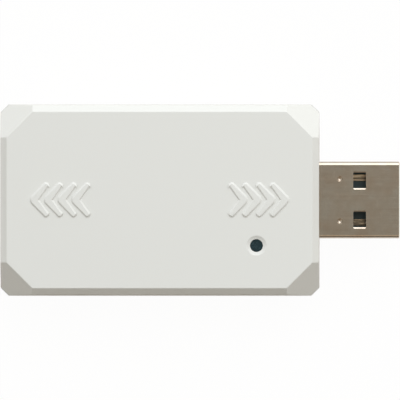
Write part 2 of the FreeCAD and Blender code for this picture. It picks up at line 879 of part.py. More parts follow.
def build_parts():
    parts = {
        "top_cover": make_top_cover(),
        "bottom_cover": make_bottom_cover(),
        "light_guide": make_light_guide(),
        "usb_shell": make_usb_shell(),
        "usb_insulator": make_usb_insulator(),
        "main_board": make_main_board(),
        "radio_board": make_radio_board(),
        "radio_shield_can": make_radio_shield_can(),
        "radio_chip": make_radio_chip(),
        "radio_flash_chip": make_radio_flash_chip(),
        "radio_crystal": make_radio_crystal(),
        "radio_antenna": make_radio_antenna(),
        "voltage_regulator": make_voltage_regulator(),
        "regulator_leads": make_regulator_leads(),
        "interface_chip": make_interface_chip(),
        "interface_chip_leads": make_interface_chip_leads(),
        "protection_array": make_protection_array(),
        "protection_array_leads": make_protection_array_leads(),
        "bulk_capacitor": make_bulk_capacitor(),
        "bulk_capacitor_terminals": make_bulk_capacitor_terminals(),
        "ceramic_capacitors": make_ceramic_capacitors(),
        "resistors": make_resistors(),
        "supply_ferrite": make_supply_ferrite(),
        "status_led": make_status_led(),
    }
    for name, y, from_tip in contact_lines():
        parts[name] = make_contact(y, from_tip)
    return parts


os.makedirs("parts", exist_ok=True)
for node, solid in build_parts().items():
    solid.exportStep(f"parts/{node}.step")
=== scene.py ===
"""Boiler wireless module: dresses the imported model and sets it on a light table, seen from straight above."""
import json
import math

import bmesh
import bpy
from bpy.props import FloatProperty, FloatVectorProperty, IntProperty, PointerProperty
from bpy.types import Operator, Panel, PropertyGroup
from mathutils import Matrix, Vector


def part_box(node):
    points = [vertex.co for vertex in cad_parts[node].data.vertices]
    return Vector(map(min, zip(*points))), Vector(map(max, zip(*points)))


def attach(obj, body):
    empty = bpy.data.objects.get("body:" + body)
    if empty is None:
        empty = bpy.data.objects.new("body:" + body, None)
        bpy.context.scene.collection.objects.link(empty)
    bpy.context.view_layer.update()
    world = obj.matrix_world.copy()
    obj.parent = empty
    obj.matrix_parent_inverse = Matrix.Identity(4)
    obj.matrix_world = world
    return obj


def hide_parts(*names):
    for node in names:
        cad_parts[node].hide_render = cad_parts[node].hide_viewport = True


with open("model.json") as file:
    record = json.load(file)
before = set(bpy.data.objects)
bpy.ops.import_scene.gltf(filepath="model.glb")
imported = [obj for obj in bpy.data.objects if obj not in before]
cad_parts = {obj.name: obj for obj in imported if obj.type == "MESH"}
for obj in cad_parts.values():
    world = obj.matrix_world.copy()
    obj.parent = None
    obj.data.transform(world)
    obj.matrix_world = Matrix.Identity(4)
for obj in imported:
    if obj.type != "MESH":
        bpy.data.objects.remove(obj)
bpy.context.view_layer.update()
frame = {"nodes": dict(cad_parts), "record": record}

bl_info = {
    "name": "Boiler Wireless Module",
    "version": (1, 0, 0),
    "blender": (4, 5, 0),
    "location": "3D View > Sidebar > Module",
    "description": "Dresses a plug-in wireless module and sets it in a plain studio",
    "category": "Object",
}

WHITE = (1, 1, 1, 1)
BLACK = (0, 0, 0, 1)


def mm(value):
    """Millimetres as metres."""
    return value / 1000


TINY = mm(0.001)
MERGE_DISTANCE = mm(0.0001)
TABLE_GAP = mm(0.05)                # keeps the table from hiding the face that rests on it
SMOOTH_BELOW = math.radians(18)     # an edge that turns less than this is shaded smooth
FLAT_WITHIN = math.radians(0.1)     # faces that turn less than this become one


def length(name, description, millimetres):
    return FloatProperty(name=name, description=description, default=mm(millimetres), min=0,
                         unit="LENGTH", precision=5)


def share(name, description, default):
    return FloatProperty(name=name, description=description, default=default, min=0, max=1, subtype="FACTOR")


def colour(name, description, default):
    return FloatVectorProperty(name=name, description=description, default=default, min=0, max=1,
                               subtype="COLOR")


def angle(name, description, degrees):
    return FloatProperty(name=name, description=description, default=math.radians(degrees), subtype="ANGLE")


# Settings that a user would change

class HousingSettings(PropertyGroup):
    """The white moulded covers."""
    colour: colour("Colour", "Colour of the moulded plastic", (0.73, 0.73, 0.69))
    roughness: share("Roughness", "How matt the covers are", 0.55)
    grain_size: length("Grain size", "Size of the fine pits that the mould leaves", 0.16)
    grain_depth: length("Grain depth", "Depth of those pits", 0.004)
    # Within this reach the covers' edges are made a little lighter: partly wear, partly a painted edge
    # highlight
    edge_radius: length("Edge softness", "How far the wear reaches in from an edge", 0.12)


class ChevronSettings(PropertyGroup):
    """The raised chevrons on the top face, in two groups that point away from each other."""
    count: IntProperty(name="Count", description="Chevrons in each group", default=4, min=1)
    pitch: length("Pitch", "From one chevron to the next", 2.13)
    first_tip: length("First tip", "From the housing's middle to the innermost tip, before rounding", 14.15)
    tip_width: length("Tip width", "Thickness at the tip, along the way it points", 2.0)
    tip_radius: length("Tip radius", "How round the tip is", 1.0)
    sweep: length("Sweep", "How far the ends of the arms lie behind the tip", 2.97)
    arm_rise: length("Arm rise", "How far the ends of the arms lie to the side", 2.23)
    end_radius: length("End radius", "Radius of the round ends", 0.55)
    height: length("Height", "How far the chevrons stand up", 0.2)
    slope: length("Slope", "Width of the sloping edge", 0.38)
    root: length("Root", "How far the chevrons reach down into the face", 0.02)


class PlugSettings(PropertyGroup):
    """The folded metal shell, the insulator and the contacts."""
    shell_colour: colour("Shell", "Colour of the plated sheet", (0.57, 0.505, 0.425))
    shell_roughness: share("Shell roughness", "How satin the plated sheet is", 0.2)
    line_length: length("Line length", "Length of the rolling lines", 3.0)
    line_width: length("Line width", "Width of the rolling lines", 0.05)
    shell_height: length("Shell height", "Height of the folded shell", 4.5)
    sheet_thickness: length("Sheet thickness", "Thickness of the shell's sheet", 0.3)
    window_spacing: length("Window spacing", "From one window's middle to the other's", 6.1)
    window_width: length("Window width", "Width of a window with its two lips", 2.8)
    packed_lip: length("Packed lip", "Width of the windows' lips in the packed model", 0.3)
    slim_lip: length("Slim lip", "Width of the windows' lips as they are seen", 0.21)
    insulator_colour: colour("Insulator", "Colour of the moulded insulator", (0.022, 0.049, 0.053))
    contact_colour: colour("Contacts", "Colour of the plated contacts", (0.55, 0.45, 0.33))


class GuideSettings(PropertyGroup):
    """The smoked light guide in the top face."""
    colour: colour("Colour", "Colour of the smoked plastic", (0.006, 0.0245, 0.0315))
    roughness: share("Roughness", "How dull its face is", 0.22)


class CameraSettings(PropertyGroup):
    """The camera straight above the module."""
    ahead: length("Ahead", "How far the view's middle lies from the housing's, towards the plug", 6.264)
    height: length("Height", "From the table to the camera", 405.4)
    focal_length: FloatProperty(name="Focal length", description="Focal length, on a 36 mm sensor",
                                default=229.6, min=1, unit="CAMERA")


class RoomSettings(PropertyGroup):
    """The light from all round, and the ceiling that gloss shows."""
    sides: colour("Sides", "Light from the room at the horizon, to the sides", (0.36, 0.3, 0.24))
    behind: colour("Behind", "How much brighter the room is behind the object", (0.61, 0.69, 0.81))
    above: colour("Above", "How much brighter the room is overhead", (0.51, 0.605, 0.685))
    ceiling: colour("Ceiling", "The ceiling round the camera, as gloss shows it", (0.35, 0.325, 0.28))
    ceiling_front: colour("Ceiling front", "The ceiling towards the front", (0.2, 0.17, 0.135))
    ceiling_strip: colour("Ceiling strip", "A paler strip of the ceiling in front", (0.8, 0.65, 0.5))
    ceiling_reach: angle("Ceiling reach", "From the ceiling's middle to its edge", 61)
    ceiling_blur: angle("Ceiling blur", "How soft the ceiling's edge is", 8)
    ceiling_lean: angle("Ceiling lean", "How far the ceiling's middle lies towards the front", 33)


class LampSettings(PropertyGroup):
    """The large soft lamp."""
    power: FloatProperty(name="Power", description="Power of the lamp", default=1.75, min=0, unit="POWER")
    distance: length("Distance", "From the object to the lamp", 600)
    size: length("Size", "Diameter of the lamp", 640)
    azimuth: angle("Azimuth", "Direction of the lamp, from +X towards +Y", 65)
    elevation: angle("Elevation", "Height of the lamp above the horizon", 48)


class TableSettings(PropertyGroup):
    """The light table."""
    size: length("Size", "Width of the table", 4000)
    glow: colour("Glow", "Light that the table gives by itself", (0.3, 0.265, 0.215))
    paleness: share("Paleness", "How much light the table sends back", 0.62)
    front: colour("Front", "How much light it sends back right in front of the object", (0.42, 0.33, 0.24))
    front_from: length("Front from", "From the object's middle to the start of that stretch", 17)
    front_half: length("Front half", "Half the length of that stretch", 20)
    front_blur: length("Front blur", "How soft its edges are", 6)
    shadow: share("Shadow", "How much of the object's shadow the white table shows", 0.05)


class ModuleSettings(PropertyGroup):
    """All the settings of the module and its studio."""
    housing: PointerProperty(type=HousingSettings)
    chevrons: PointerProperty(type=ChevronSettings)
    plug: PointerProperty(type=PlugSettings)
    guide: PointerProperty(type=GuideSettings)
    camera: PointerProperty(type=CameraSettings)
    room: PointerProperty(type=RoomSettings)
    lamp: PointerProperty(type=LampSettings)
    table: PointerProperty(type=TableSettings)


# Node trees

# The Mix node's sockets for colours, which share their names with its other sockets
MIX_FIRST_COLOUR = 6
MIX_SECOND_COLOUR = 7
MIX_COLOUR_RESULT = 2


class Sheet:
    """Adds nodes to one tree. A socket that is given another node's socket is linked to it."""

    def __init__(self, tree):
        self.tree = tree

    def feed(self, socket, value):
        if isinstance(value, bpy.types.NodeSocket):
            self.tree.links.new(value, socket)
        else:
            socket.default_value = value

    def add(self, kind, inputs=None, **settings):
        node = self.tree.nodes.new(kind)
        for name, value in settings.items():
            setattr(node, name, value)
        for key, value in (inputs or {}).items():
            self.feed(node.inputs[key], value)
        return node

    def math(self, operation, *values):
        return self.add("ShaderNodeMath", dict(enumerate(values)), operation=operation).outputs[0]

    def vector(self, operation, *values):
        node = self.add("ShaderNodeVectorMath", dict(enumerate(values)), operation=operation)
        return node.outputs["Value" if operation in ("DOT_PRODUCT", "LENGTH") else "Vector"]

    def scaled(self, vector, factor):
        node = self.add("ShaderNodeVectorMath", {0: vector, "Scale": factor}, operation="SCALE")
        return node.outputs["Vector"]

    def join(self, x, y, z):
        return self.add("ShaderNodeCombineXYZ", {0: x, 1: y, 2: z}).outputs[0]

    def noise(self, coordinates, scale, detail, roughness=0.5):
        node = self.add("ShaderNodeTexNoise", {"Vector": coordinates, "Scale": scale, "Detail": detail,
                                               "Roughness": roughness})
        return node.outputs["Fac"]

    def ranged(self, value, low, high, to_low=0, to_high=1):
        """A value's place between low and high, spread from to_low to to_high and held there."""
        node = self.add("ShaderNodeMapRange", {"Value": value, "From Min": low, "From Max": high,
                                               "To Min": to_low, "To Max": to_high})
        return node.outputs["Result"]

    def mixed(self, factor, first, second):
        """A colour between two others."""
        values = {"Factor": factor, MIX_FIRST_COLOUR: first, MIX_SECOND_COLOUR: second}
        node = self.add("ShaderNodeMix", values, data_type="RGBA")
        return node.outputs[MIX_COLOUR_RESULT]


def new_sockets(tree, in_out, sockets):
    for name, kind in sockets.items():
        tree.interface.new_socket(name=name, in_out=in_out, socket_type=f"NodeSocket{kind}")


def shader_group(name, inputs, outputs):
    """A new shader node group: its sheet, what goes in and what comes out."""
    tree = bpy.data.node_groups.new(name, "ShaderNodeTree")
    new_sockets(tree, "INPUT", inputs)
    new_sockets(tree, "OUTPUT", outputs)
    sheet = Sheet(tree)
    return sheet, sheet.add("NodeGroupInput").outputs, sheet.add("NodeGroupOutput").inputs


def object_coordinates(sheet):
    return sheet.add("ShaderNodeTexCoord").outputs["Object"]


def moulded_grain_group():
    """The fine pits that a spark-eroded mould leaves: their height, and a slow change in their tone."""
    sheet, given, result = shader_group("moulded grain", {"Size": "Float"},
                                        {"Height": "Float", "Tone": "Float"})
    coarse_share = 0.3
    coarse_weight = 0.5
    place = object_coordinates(sheet)
    scale = sheet.math("DIVIDE", 1, given["Size"])
    fine = sheet.noise(place, scale, detail=3, roughness=0.6)
    coarse = sheet.noise(place, sheet.math("MULTIPLY", scale, coarse_share), detail=2)
    sheet.feed(result["Height"], sheet.math("MULTIPLY_ADD", coarse, coarse_weight, fine))
    sheet.feed(result["Tone"], sheet.ranged(coarse, low=0.35, high=0.65))
    return sheet.tree


def cloud_group():
    """A slow change over the surface, from 0 to 1."""
    sheet, given, result = shader_group("slow clouds", {"Size": "Float"}, {"Tone": "Float"})
    scale = sheet.math("DIVIDE", 1, given["Size"])
    cloud = sheet.noise(object_coordinates(sheet), scale, detail=2)
    sheet.feed(result["Tone"], sheet.ranged(cloud, low=0.3, high=0.7))
    return sheet.tree


def edge_wear_and_highlight_group():
    """Where an edge is near: a broken mask, used for wear and, on moulded plastic, partly for a painted edge
    highlight, and the normal of a slightly softened edge.
    """
    sheet, given, result = shader_group("edge wear and highlight", {"Radius": "Float"},
                                        {"Mask": "Float", "Normal": "Vector"})
    breaks_per_radius = 0.4
    soft = sheet.add("ShaderNodeBevel", {"Radius": given["Radius"]}, samples=6).outputs["Normal"]
    straight = sheet.add("ShaderNodeNewGeometry").outputs["Normal"]
    turned = sheet.math("SUBTRACT", 1, sheet.vector("DOT_PRODUCT", soft, straight))
    edge = sheet.ranged(turned, low=0.01, high=0.12)
    scale = sheet.math("DIVIDE", breaks_per_radius, given["Radius"])
    breaks = sheet.noise(object_coordinates(sheet), scale, detail=3)
    broken = sheet.ranged(breaks, low=0.3, high=0.65, to_low=0.3)
    sheet.feed(result["Mask"], sheet.math("MULTIPLY", edge, broken))
    sheet.feed(result["Normal"], soft)
    return sheet.tree


def rolling_lines_group():
    """The fine lines that rolling leaves in sheet metal, along X, in slow bands."""
    sheet, given, result = shader_group("rolling lines",
                                        {"Length": "Float", "Width": "Float", "Contrast": "Float"},
                                        {"Height": "Float", "Tone": "Float"})
    middle = 0.5
    band_weight = 0.5
    stretch = sheet.join(given["Length"], given["Width"], given["Width"])
    along = sheet.vector("DIVIDE", object_coordinates(sheet), stretch)
    lines = sheet.noise(along, scale=1, detail=4, roughness=0.65)
    bands = sheet.noise(along, scale=0.18, detail=2)
    sheet.feed(result["Height"], lines)
    both = sheet.math("MULTIPLY_ADD", bands, band_weight, lines)
    away = sheet.math("SUBTRACT", both, middle * (1 + band_weight))
    tone = sheet.math("MULTIPLY_ADD", away, given["Contrast"], middle)
    sheet.feed(result["Tone"], sheet.ranged(tone, low=0, high=1))
    return sheet.tree


def hairlines_group():
    """Sparse fine scratches across X, from 0 to 1."""
    sheet, given, result = shader_group("hairlines", {"Length": "Float", "Width": "Float"}, {"Mask": "Float"})
    stretch = sheet.join(given["Width"], given["Length"], given["Length"])
    across = sheet.vector("DIVIDE", object_coordinates(sheet), stretch)
    lines = sheet.noise(across, scale=1, detail=2, roughness=0.7)
    sheet.feed(result["Mask"], sheet.ranged(lines, low=0.56, high=0.7))
    return sheet.tree


def shared_group(name):
    """A shader group that is built the first time it is asked for."""
    makers = {
        "moulded grain": moulded_grain_group,
        "slow clouds": cloud_group,
        "edge wear and highlight": edge_wear_and_highlight_group,
        "rolling lines": rolling_lines_group,
        "hairlines": hairlines_group,
    }
    return bpy.data.node_groups.get(name) or makers[name]()


def use_group(sheet, name, inputs):
    """Places a shared group in a material, with the material's own values, and gives its outputs."""
    node = sheet.add("ShaderNodeGroup", node_tree=shared_group(name))
    for key, value in inputs.items():
        sheet.feed(node.inputs[key], value)
    return node.outputs


# Materials

def toned(base, tint):
    """An opaque colour with a factor for each channel."""
    return [min(1, channel * factor) for channel, factor in zip(base, tint)] + [1]


def tinted(base, factor):
    """An opaque colour made lighter or darker."""
    return toned(base, [factor] * 3)


def new_surface(name):
    """A material with only a Principled shader: the material, its sheet and the shader's inputs."""
    material = bpy.data.materials.new(name)
    material.use_nodes = True
    return material, Sheet(material.node_tree), material.node_tree.nodes["Principled BSDF"].inputs


def bumped(sheet, shader, height, depth, normal):
    bump = sheet.add("ShaderNodeBump", {"Strength": 1, "Distance": depth, "Height": height, "Normal": normal})
    sheet.feed(shader["Normal"], bump.outputs["Normal"])


def moulded_plastic(name, base, roughness, grain_size, grain_depth, edge_radius, cloud_size=mm(14)):
    """Plastic with a mould's fine grain, a slow change of tone, and edges rubbed a little smoother and made a
    little lighter, partly as wear and partly as a painted edge highlight.
    """
    tone_change = 0.015
    smoothest, roughest = roughness - 0.04, roughness + 0.06
    wear_and_highlight_tint, wear_and_highlight_share, rubbed_smoother = 1.06, 0.3, 0.12
    material, sheet, shader = new_surface(name)
    grain = use_group(sheet, "moulded grain", {"Size": grain_size})
    cloud = use_group(sheet, "slow clouds", {"Size": cloud_size})
    edge = use_group(sheet, "edge wear and highlight", {"Radius": edge_radius})
    body = sheet.mixed(cloud["Tone"], tinted(base, 1 - tone_change), tinted(base, 1 + tone_change))
    # Lightens the edges a little: partly rubbed wear, partly a painted edge highlight
    wear_and_highlight = sheet.math("MULTIPLY", edge["Mask"], wear_and_highlight_share)
    sheet.feed(shader["Base Color"], sheet.mixed(wear_and_highlight, body, tinted(base, wear_and_highlight_tint)))
    matt = sheet.ranged(grain["Tone"], 0, 1, smoothest, roughest)
    sheet.feed(shader["Roughness"], sheet.math("MULTIPLY_ADD", edge["Mask"], -rubbed_smoother, matt))
    bumped(sheet, shader, grain["Height"], grain_depth, edge["Normal"])
    return material


def sheet_metal(name, base, roughness, line_length, line_width, line_depth, edge_radius,
                streak=0.06, contrast=2):
    """Plated sheet with rolling lines, clouds in the plating, hairlines, and edges worn brighter."""
    warm, cool = toned(base, (0.95, 0.91, 0.88)), toned(base, (1, 1.04, 1.07))
    smoothest, roughest = roughness - 0.04, roughness + 0.05
    worn_tint, hairline_gain = 1.2, 0.1
    material, sheet, shader = new_surface(name)
    lines = use_group(sheet, "rolling lines", {"Length": line_length, "Width": line_width,
                                               "Contrast": contrast})
    cloud = use_group(sheet, "slow clouds", {"Size": mm(2.2)})
    hair = use_group(sheet, "hairlines", {"Length": mm(1.6), "Width": mm(0.05)})
    edge = use_group(sheet, "edge wear and highlight", {"Radius": edge_radius})
    plating = sheet.mixed(cloud["Tone"], warm, cool)
    streaks = sheet.ranged(lines["Tone"], 0, 1, 1 - streak, 1 + streak)
    body = sheet.scaled(plating, sheet.math("MULTIPLY_ADD", hair["Mask"], hairline_gain, streaks))
    sheet.feed(shader["Base Color"], sheet.mixed(edge["Mask"], body, tinted(base, worn_tint)))
    sheet.feed(shader["Metallic"], 1)
    sheet.feed(shader["Roughness"], sheet.ranged(lines["Tone"], 0, 1, smoothest, roughest))
    bumped(sheet, shader, lines["Height"], line_depth, edge["Normal"])
    return material


def smoked_plastic(name, base, roughness):
    """Dark clear plastic, moulded smooth, with faint haze."""
    deep, hazy = tinted(base, 0.75), tinted(base, 1.3)
    smoothest, roughest = roughness - 0.05, roughness + 0.08
    material, sheet, shader = new_surface(name)
    cloud = use_group(sheet, "slow clouds", {"Size": mm(0.6)})
    grain = use_group(sheet, "moulded grain", {"Size": mm(0.09)})
    edge = use_group(sheet, "edge wear and highlight", {"Radius": mm(0.05)})
    sheet.feed(shader["Base Color"], sheet.mixed(cloud["Tone"], deep, hazy))
    sheet.feed(shader["Roughness"], sheet.ranged(cloud["Tone"], 0, 1, smoothest, roughest))
    bumped(sheet, shader, grain["Height"], mm(0.0008), edge["Normal"])
    return material


def solder_mask(name, base):
    """Green lacquer over glass cloth, with the weave showing faintly through."""
    laminate = (0.5, 0.42, 0.2, 1)
    threads = {"Scale": 330, "Distortion": 0.4}
    smoothest, roughest = 0.28, 0.36
    material, sheet, shader = new_surface(name)
    cloud = use_group(sheet, "slow clouds", {"Size": mm(3)})
    edge = use_group(sheet, "edge wear and highlight", {"Radius": mm(0.1)})
    place = object_coordinates(sheet)
    weave = [sheet.add("ShaderNodeTexWave", {"Vector": place, **threads}, bands_direction=axis).outputs["Fac"]
             for axis in ("X", "Y")]
    cloth = sheet.math("MULTIPLY", *weave)
    green = sheet.mixed(cloud["Tone"], tinted(base, 0.9), tinted(base, 1.1))
    sheet.feed(shader["Base Color"], sheet.mixed(edge["Mask"], green, laminate))
    sheet.feed(shader["Roughness"], sheet.ranged(cloth, 0, 1, smoothest, roughest))
    bumped(sheet, shader, cloth, mm(0.006), edge["Normal"])
    return material


def slot_colour(slot):
    """The colour that the record gives one of its material slots."""
    return next(m["base_color"] for m in frame["record"]["materials"] if m["slot"] == slot)


def inner_material(slot):
    """The finish of a slot that lies inside the closed housing."""
    base = slot_colour(slot)
    if slot == "board":
        return solder_mask(slot, base)
    if slot in ("can_metal", "copper", "lead_metal"):
        return sheet_metal(slot, base, roughness=0.35, line_length=mm(1), line_width=mm(0.03),
                           line_depth=mm(0.001), edge_radius=mm(0.05))
    return moulded_plastic(slot, base, roughness=0.5, grain_size=mm(0.06), grain_depth=mm(0.002),
                           edge_radius=mm(0.05), cloud_size=mm(2))


# Pieces

def link_piece(name, mesh, material):
    """A finished piece that rides on the module, with the given material."""
    piece = bpy.data.objects.new(name, mesh)
    bpy.context.scene.collection.objects.link(piece)
    mesh.materials.clear()
    mesh.materials.append(material)
    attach(piece, "root")
    return piece


def smooth_rounds(piece):
    """Shade a piece smooth over its rounded edges, while its flat faces stay flat."""
    piece.data.shade_smooth()
    piece.data.set_sharp_from_angle(angle=SMOOTH_BELOW)
    flat = piece.modifiers.new("flat faces stay flat", "WEIGHTED_NORMAL")
    flat.keep_sharp = True


def dressed_node(node, name, material, change=None):
    """A merged copy of a node's loose triangles, which stands for the node."""
    mesh = frame["nodes"][node].data.copy()
    mesh.name = name
    shape = bmesh.new()
    shape.from_mesh(mesh)
    bmesh.ops.remove_doubles(shape, verts=shape.verts, dist=MERGE_DISTANCE)
    if change:
        change(shape)
    bmesh.ops.dissolve_limit(shape, angle_limit=FLAT_WITHIN, verts=shape.verts, edges=shape.edges)
    shape.to_mesh(mesh)
    shape.free()
    # The node's own normals don't fit the merged points
    if "custom_normal" in mesh.attributes:
        mesh.attributes.remove(mesh.attributes["custom_normal"])
    piece = link_piece(name, mesh, material)
    smooth_rounds(piece)
    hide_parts(node)
    return piece


def top_face_height(chevrons):
    """Height of the top cover's flat face, which the chevrons stand on."""
    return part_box("top_cover")[1].z - chevrons.height


def chevron_remover(chevrons):
    """A change that levels the copied cover's chevrons, so that softer ones can stand there."""
    face = top_face_height(chevrons)

    def level(shape):
        raised = [f for f in shape.faces if f.calc_center_median().z > face + TINY]
        bmesh.ops.delete(shape, geom=raised, context="FACES")
        bmesh.ops.holes_fill(shape, edges=[e for e in shape.edges if e.is_boundary], sides=0)

    return level


def mount_place(name):
    """Where the record puts one of its mounts."""
    return Vector(next(m["pos_m"] for m in frame["record"]["mounts"] if m["name"] == name))


def lip_slimmer(plug):
    """A change that narrows the copied shell's window lips, and leaves the windows' edges in place."""
    axis_height = mount_place("usb_plug").z
    narrower = 1 - plug.slim_lip / plug.packed_lip

    def slim(shape):
        for vert in shape.verts:
            from_middle = abs(vert.co.y) - plug.window_spacing / 2
            from_edge = plug.window_width / 2 - abs(from_middle)
            depth = plug.shell_height / 2 - abs(vert.co.z - axis_height)
            in_lip = TINY < from_edge < plug.packed_lip + TINY
            in_sheet = TINY < depth < plug.sheet_thickness + TINY
            if in_lip and in_sheet:
                outward = math.copysign(from_edge * narrower, from_middle)
                vert.co.y += outward * math.copysign(1, vert.co.y)

    return slim


POINTS_IN_FILLET = 8
# How far up and in the chevrons' soft edge has come at each of its bends, as shares of height and slope
EDGE_RISE = (0, 0.1, 0.5, 0.9, 1)
EDGE_INSET = (0, 0.22, 0.5, 0.78, 1)
CHEVRON_LENGTHS = ("Pitch", "First Tip", "Tip Width", "Tip Radius", "Sweep", "Arm Rise", "End Radius",
                   "Height", "Slope", "Root", "Face Height")


def arm_corner(sheet, start, centre, along, radius, side):
    """Where the line from a start that touches an arm's round end meets the line across that end."""
    way = sheet.vector("SUBTRACT", centre, start)
    distance = sheet.vector("LENGTH", way)
    sine = sheet.math("DIVIDE", radius, distance)
    cosine = sheet.math("SQRT", sheet.math("SUBTRACT", 1, sheet.math("MULTIPLY", sine, sine)))
    ahead = sheet.vector("NORMALIZE", way)
    aside = sheet.vector("CROSS_PRODUCT", (0, 0, side), ahead)
    touching = sheet.vector("ADD", sheet.scaled(ahead, cosine), sheet.scaled(aside, sine))
    to_end = sheet.math("ADD", sheet.vector("DOT_PRODUCT", way, along), radius)
    reach = sheet.math("DIVIDE", to_end, sheet.vector("DOT_PRODUCT", touching, along))
    return sheet.vector("ADD", start, sheet.scaled(touching, reach))


def chosen_by_index(sheet, kind, index, values):
    """One of several values, by a point's place in its line."""
    choice = sheet.add("GeometryNodeIndexSwitch", data_type=kind)
    while len(choice.index_switch_items) < len(values):
        choice.index_switch_items.new()
    sheet.feed(choice.inputs["Index"], index)
    for number, value in enumerate(values):
        sheet.feed(choice.inputs[number + 1], value)
    return choice.outputs[0]


def chevron_outline(sheet, given):
    """One chevron's outline as a closed curve, with its tip, before rounding, at the origin."""
    back = sheet.math("MULTIPLY", given["Sweep"], -1)
    tip = sheet.join(0, 0, 0)
    crotch = sheet.join(sheet.math("MULTIPLY", given["Tip Width"], -1), 0, 0)
    centre = sheet.join(back, given["Arm Rise"], 0)
    tip_middle = sheet.scaled(crotch, 0.5)
    along = sheet.vector("NORMALIZE", sheet.vector("SUBTRACT", centre, tip_middle))
    outer = arm_corner(sheet, tip, centre, along, given["End Radius"], -1)
    inner = arm_corner(sheet, crotch, centre, along, given["End Radius"], 1)
    mirror = (1, -1, 1)
    other_inner, other_outer = (sheet.vector("MULTIPLY", corner, mirror) for corner in (inner, outer))
    corners = [tip, outer, inner, crotch, other_inner, other_outer]
    round_end = given["End Radius"]
    radii = [given["Tip Radius"], round_end, round_end, 0, round_end, round_end]
    index = sheet.add("GeometryNodeInputIndex").outputs[0]
    line = sheet.add("GeometryNodeMeshLine", {"Count": len(corners)}).outputs[0]
    curve = sheet.add("GeometryNodeMeshToCurve", {"Mesh": line}).outputs[0]
    closed = sheet.add("GeometryNodeSetSplineCyclic", {0: curve, "Cyclic": True}).outputs[0]
    place = chosen_by_index(sheet, "VECTOR", index, corners)
    placed = sheet.add("GeometryNodeSetPosition", {"Geometry": closed, "Position": place}).outputs[0]
    radius = chosen_by_index(sheet, "FLOAT", index, radii)
    rounded = sheet.add("GeometryNodeFilletCurve", {"Curve": placed, "Count": POINTS_IN_FILLET,
                                                    "Radius": radius, "Limit Radius": True}, mode="POLY")
    return rounded.outputs[0]


def inward_mitre(sheet):
    """On a closed flat curve: the way in at each point that moves both its sides in by 1."""
    position = sheet.add("GeometryNodeInputPosition").outputs[0]
    beside = []
    for step in (-1, 1):
        place = sheet.add("GeometryNodeOffsetPointInCurve", {"Offset": step}).outputs["Point Index"]
        beside.append(sheet.add("GeometryNodeFieldAtIndex", {"Index": place, "Value": position},
                                data_type="FLOAT_VECTOR").outputs[0])
    before = sheet.vector("NORMALIZE", sheet.vector("SUBTRACT", position, beside[0]))
    after = sheet.vector("NORMALIZE", sheet.vector("SUBTRACT", beside[1], position))
    normals = [sheet.vector("CROSS_PRODUCT", (0, 0, 1), side) for side in (before, after)]
    both = sheet.vector("ADD", *normals)
    spread = sheet.math("ADD", 1, sheet.vector("DOT_PRODUCT", *normals))
    return sheet.scaled(both, sheet.math("DIVIDE", 1, spread))


def join_geometry(sheet, parts):
    joined = sheet.add("GeometryNodeJoinGeometry")
    for part in parts:
        sheet.tree.links.new(part, joined.inputs[0])
    return joined.outputs[0]


def soft_edge_steps(sheet, given):
    """How far in and up each stretch of a chevron's side goes: its root first, and then the soft edge."""
    steps = [(0, given["Root"])]
    for k in range(1, len(EDGE_RISE)):
        steps.append((sheet.math("MULTIPLY", given["Slope"], EDGE_INSET[k] - EDGE_INSET[k - 1]),
                      sheet.math("MULTIPLY", given["Height"], EDGE_RISE[k] - EDGE_RISE[k - 1])))
    return steps


def chevron_relief(sheet, given):
    """One chevron as a closed form: its side, its flat top and its foot."""
    outline = chevron_outline(sheet, given)
    capture = sheet.add("GeometryNodeCaptureAttribute", {"Geometry": outline})
    capture.capture_items.new("VECTOR", "Inward")
    sheet.feed(capture.inputs["Inward"], inward_mitre(sheet))
    side = sheet.add("GeometryNodeCurveToMesh", {"Curve": capture.outputs["Geometry"]}).outputs[0]
    rim = None
    for move_in, move_up in soft_edge_steps(sheet, given):
        inward = sheet.scaled(capture.outputs["Inward"], move_in)
        chosen = {"Mesh": side, "Offset": sheet.vector("ADD", inward, sheet.join(0, 0, move_up)),
                  "Offset Scale": 1}
        if rim:
            chosen["Selection"] = rim
        extruded = sheet.add("GeometryNodeExtrudeMesh", chosen, mode="EDGES").outputs
        side, rim = extruded["Mesh"], extruded["Top"]

    rim_edges = sheet.add("GeometryNodeSeparateGeometry", {"Geometry": side, "Selection": rim}, domain="EDGE")
    rim_line = sheet.add("GeometryNodeMeshToCurve", {"Mesh": rim_edges.outputs[0]}).outputs[0]
    top, foot = (sheet.add("GeometryNodeFillCurve", {"Curve": line}, mode="NGONS").outputs[0]
                 for line in (rim_line, outline))
    lift = sheet.vector("ADD", sheet.add("GeometryNodeInputPosition").outputs[0],
                        sheet.join(0, 0, sheet.math("ADD", given["Root"], given["Height"])))
    top = sheet.add("GeometryNodeSetPosition", {"Geometry": top, "Position": lift}).outputs[0]
    closed = join_geometry(sheet, (side, top, foot))
    return sheet.add("GeometryNodeMergeByDistance", {"Geometry": closed, "Distance": TINY}).outputs[0]


def in_two_groups(sheet, given, relief):
    """Copies of the relief along two lines that start at the housing's middle and point away from it."""
    start = sheet.join(given["First Tip"], 0, sheet.math("SUBTRACT", given["Face Height"], given["Root"]))
    step = sheet.join(given["Pitch"], 0, 0)
    line = sheet.add("GeometryNodeMeshLine", {"Count": given["Count"], "Start Location": start,
                                              "Offset": step}).outputs[0]
    group = sheet.add("GeometryNodeInstanceOnPoints", {"Points": line, "Instance": relief}).outputs[0]
    other = sheet.add("GeometryNodeTransform", {"Geometry": group, "Rotation": (0, 0, math.pi)}).outputs[0]
    return join_geometry(sheet, (group, other))


